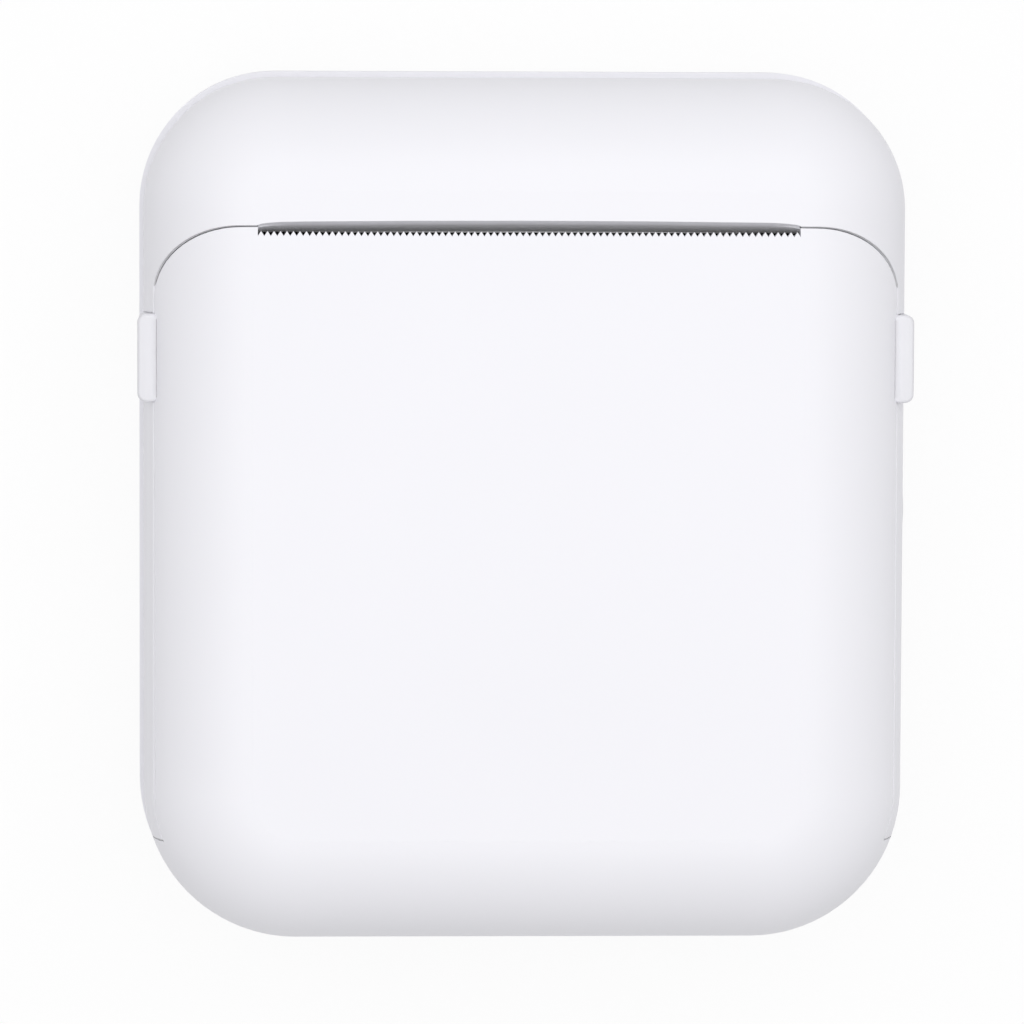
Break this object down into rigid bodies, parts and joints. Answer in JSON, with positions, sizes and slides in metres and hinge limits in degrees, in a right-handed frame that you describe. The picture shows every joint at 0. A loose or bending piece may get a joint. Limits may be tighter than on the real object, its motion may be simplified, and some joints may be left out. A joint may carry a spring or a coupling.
{
  "type": "portable thermal printer",
  "caption": "Palm-sized thermal printer: pillow-shaped hinged cover with toothed tear edge over a paper roll bay, sprung print head, geared platen and stepper drive.",
  "frame": {"origin": "on the surface the printer lies on, under the middle of the case", "axes": "+X across the width, +Y towards the end with the paper slot, +Z out of the front face"},
  "size_m": [0.0848, 0.0958, 0.042],
  "materials": {
    "white_shell": "fine matt moulded ABS",
    "white_tab": "satin moulded plastic",
    "white_inner": "matt moulded plastic",
    "black_chassis": "glass-filled nylon",
    "foot_rubber": "soft grey rubber",
    "platen_rubber": "ground silicone rubber",
    "screw_steel": "zinc-plated steel",
    "pin_steel": "ground steel",
    "bracket_steel": "zinc-plated sheet",
    "motor_can": "drawn steel can",
    "gear_acetal": "natural acetal",
    "pinion_brass": "machined brass",
    "bushing_acetal": "black acetal",
    "head_aluminium": "extruded aluminium",
    "head_ceramic": "glazed ceramic",
    "sensor_black": "black epoxy body",
    "cell_foil": "laminated foil pouch",
    "board_green": "solder-masked laminate",
    "usb_steel": "nickel-plated shell",
    "switch_black": "moulded switch body",
    "button_white": "satin moulded plastic",
    "pipe_clear": "clear polycarbonate",
    "cable_film": "polyimide film"
  },
  "bodies": {
    "case": {"rear_shell": "white_shell", "rubber_feet": "foot_rubber", "case_screws": "screw_steel", "hinge_pin": "pin_steel", "front_frame": "white_shell", "paper_tray": "white_inner", "tray_screws": "screw_steel", "print_chassis": "black_chassis", "head_pivot_pin": "pin_steel", "head_springs": "pin_steel", "spring_bracket": "bracket_steel", "paper_sensor": "sensor_black", "gear_axles": "pin_steel", "axle_clip": "pin_steel", "stepper_motor": "motor_can", "motor_screws": "screw_steel", "battery": "cell_foil", "main_board": "board_green", "side_board": "board_green", "board_screws": "screw_steel", "usb_port": "usb_steel", "power_switch": "switch_black", "light_pipe": "pipe_clear", "head_ribbon": "cable_film", "battery_lead": "cable_film", "board_link_cable": "cable_film"},
    "cover": {"cover_shell": "white_shell", "left_pull_tab": "white_tab", "right_pull_tab": "white_tab", "cover_inner_frame": "white_inner", "cover_screws": "screw_steel", "left_bushing": "bushing_acetal", "right_bushing": "bushing_acetal"},
    "platen": {"platen_shaft": "pin_steel", "platen_rubber": "platen_rubber", "platen_gear": "gear_acetal", "platen_clips": "pin_steel"},
    "idler": {"idler_gear": "gear_acetal"},
    "compound": {"compound_gear": "gear_acetal"},
    "pinion": {"pinion_gear": "pinion_brass", "motor_shaft": "pin_steel"},
    "print_head": {"heat_sink": "head_aluminium", "thermal_head": "head_ceramic"},
    "button": {"power_button": "button_white"}
  },
  "joints": [
    {"name": "cover_hinge", "type": "hinge", "parent": "case", "child": "cover", "pos_m": [0, -0.0449, 0.022], "axis": [1, 0, 0], "range_deg": [0, 90]},
    {"name": "platen_spin", "type": "hinge", "parent": "cover", "child": "platen", "pos_m": [0, 0.0255, 0.0315], "axis": [1, 0, 0], "continuous": true},
    {"name": "idler_spin", "type": "hinge", "parent": "case", "child": "idler", "pos_m": [0, 0.02677, 0.02209], "axis": [1, 0, 0], "continuous": true},
    {"name": "compound_spin", "type": "hinge", "parent": "case", "child": "compound", "pos_m": [0, 0.02421, 0.01504], "axis": [1, 0, 0], "continuous": true},
    {"name": "pinion_spin", "type": "hinge", "parent": "case", "child": "pinion", "pos_m": [0, 0.03307, 0.01348], "axis": [1, 0, 0], "continuous": true},
    {"name": "print_head_tilt", "type": "hinge", "parent": "case", "child": "print_head", "pos_m": [0, 0.0329, 0.0231], "axis": [-1, 0, 0], "range_deg": [0, 2.5], "stiffness_Nm_per_rad": 0.28, "springref_deg": -5.73, "deforming": ["head_springs"]},
    {"name": "power_button_press", "type": "slide", "parent": "case", "child": "button", "axis": [-1, 0, 0], "range_m": [0, 0.0004], "stiffness_N_per_m": 400, "springref_m": -0.0005}
  ],
  "couplings": [
    {"joint": "idler_spin", "follows": "platen_spin", "ratio": -1.1111},
    {"joint": "compound_spin", "follows": "platen_spin", "ratio": 1.6667},
    {"joint": "pinion_spin", "follows": "platen_spin", "ratio": -4.3333}
  ]
}
